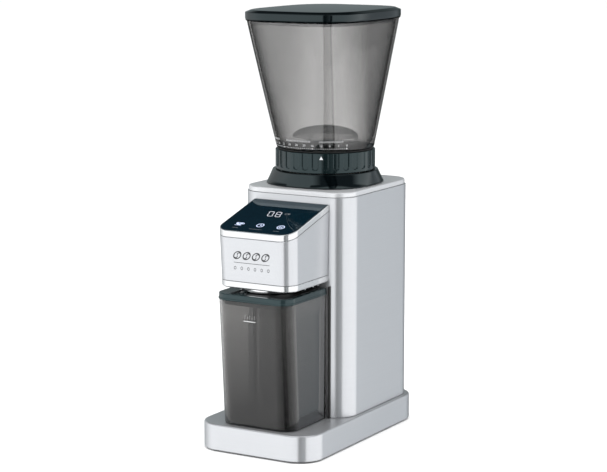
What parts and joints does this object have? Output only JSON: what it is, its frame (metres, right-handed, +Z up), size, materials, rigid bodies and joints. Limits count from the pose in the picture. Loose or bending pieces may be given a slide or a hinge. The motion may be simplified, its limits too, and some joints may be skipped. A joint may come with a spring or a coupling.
{
  "type": "burr coffee grinder",
  "caption": "Upright conical-burr coffee grinder: bean hopper with lid, fluted grind ring, steel tower, touch-panel head and pull-out grounds container.",
  "frame": {"origin": "on the surface it stands on, under the middle of its outline", "axes": "+Z up; the control panel and the grounds container face -Y; +X is the right-hand side seen from the back"},
  "size_m": [0.1194, 0.207, 0.39],
  "materials": {
    "brushed_steel": "fine brushed stainless steel",
    "trim_steel": "satin stainless steel",
    "smoke_plastic": "clear smoke-grey plastic, polished",
    "black_gloss_plastic": "polished black plastic",
    "black_plastic": "fine-textured black plastic",
    "panel_glass": "back-painted black glass",
    "rubber": "soft black rubber",
    "silicone": "grey silicone",
    "zinc_plate": "zinc-plated steel",
    "hardened_steel": "hardened steel",
    "ground_steel": "ground steel",
    "brass": "turned brass",
    "bronze": "sintered bronze",
    "nylon": "natural nylon",
    "circuit_board": "solder-masked board",
    "display": "dark display face"
  },
  "bodies": {
    "chassis": {"base_shell": "brushed_steel", "tower_shell": "brushed_steel", "tower_top_plate": "brushed_steel", "head_housing": "brushed_steel", "head_top_trim": "trim_steel", "head_bottom_trim": "trim_steel", "outlet_rim": "trim_steel", "collar": "black_gloss_plastic", "base_bottom_cover": "black_plastic", "cable_gland": "black_plastic", "grind_chamber": "black_plastic", "gearbox_case": "black_plastic", "motor_end_cap": "black_plastic", "head_bottom_plate": "black_plastic", "chute": "black_plastic", "hopper_microswitch": "black_plastic", "control_glass": "panel_glass", "foot_front_left": "rubber", "foot_front_right": "rubber", "foot_rear_left": "rubber", "foot_rear_right": "rubber", "vibration_pad_left": "rubber", "vibration_pad_right": "rubber", "touch_pad_left": "silicone", "touch_pad_middle": "silicone", "touch_pad_right": "silicone", "cover_screw_front_left": "zinc_plate", "cover_screw_front_right": "zinc_plate", "cover_screw_rear_left": "zinc_plate", "cover_screw_rear_right": "zinc_plate", "inner_frame": "zinc_plate", "gearbox_bottom_plate": "zinc_plate", "gearbox_top_plate": "zinc_plate", "motor_can": "zinc_plate", "intermediate_axle": "hardened_steel", "lower_bearing": "bronze", "upper_bearing": "bronze", "control_board": "circuit_board", "power_board": "circuit_board", "display_module": "display"},
    "motor_rotor": {"motor_armature": "hardened_steel", "motor_shaft": "ground_steel", "motor_pinion": "brass"},
    "layshaft": {"intermediate_wheel": "nylon", "intermediate_pinion": "hardened_steel"},
    "grinding_spindle": {"output_gear": "nylon", "drive_shaft": "ground_steel", "sweep_disc": "nylon", "cone_burr": "hardened_steel", "burr_nut": "ground_steel"},
    "grind_ring": {"grind_ring": "black_gloss_plastic"},
    "upper_burr": {"burr_carrier": "nylon", "ring_burr": "hardened_steel"},
    "bean_hopper": {"hopper": "smoke_plastic", "hopper_seal": "rubber", "bean_guard": "smoke_plastic"},
    "hopper_lid": {"hopper_lid": "black_gloss_plastic", "lid_seal": "silicone"},
    "container": {"grounds_container": "smoke_plastic", "container_lid": "black_plastic"}
  },
  "joints": [
    {"name": "motor_spin", "type": "hinge", "parent": "chassis", "child": "motor_rotor", "pos_m": [0, 0.0297, 0.1], "axis": [0, 0, 1], "continuous": true},
    {"name": "intermediate_spin", "type": "hinge", "parent": "chassis", "child": "layshaft", "pos_m": [0, 0.0597, 0.15], "axis": [0, 0, 1], "continuous": true},
    {"name": "burr_spin", "type": "hinge", "parent": "chassis", "child": "grinding_spindle", "pos_m": [0, 0.0297, 0.2], "axis": [0, 0, 1], "continuous": true},
    {"name": "grind_ring_turn", "type": "hinge", "parent": "chassis", "child": "grind_ring", "pos_m": [0, 0.0297, 0.25], "axis": [0, 0, 1], "range_deg": [-90, 30]},
    {"name": "burr_carrier_lift", "type": "slide", "parent": "grind_ring", "child": "upper_burr", "axis": [0, 0, 1], "range_m": [-0.0003, 0.0006]},
    {"name": "hopper_lift", "type": "slide", "parent": "chassis", "child": "bean_hopper", "axis": [0, 0, 1], "range_m": [0, 0.08]},
    {"name": "lid_lift", "type": "slide", "parent": "bean_hopper", "child": "hopper_lid", "axis": [0, 0, 1], "range_m": [0, 0.06]},
    {"name": "container_slide", "type": "slide", "parent": "chassis", "child": "container", "axis": [0, -1, 0], "range_m": [0, 0.11]}
  ],
  "couplings": [
    {"joint": "intermediate_spin", "follows": "motor_spin", "ratio": -0.33333},
    {"joint": "burr_spin", "follows": "motor_spin", "ratio": 0.11111},
    {"joint": "burr_carrier_lift", "follows": "grind_ring_turn", "m_per_rad": -0.00031831}
  ]
}
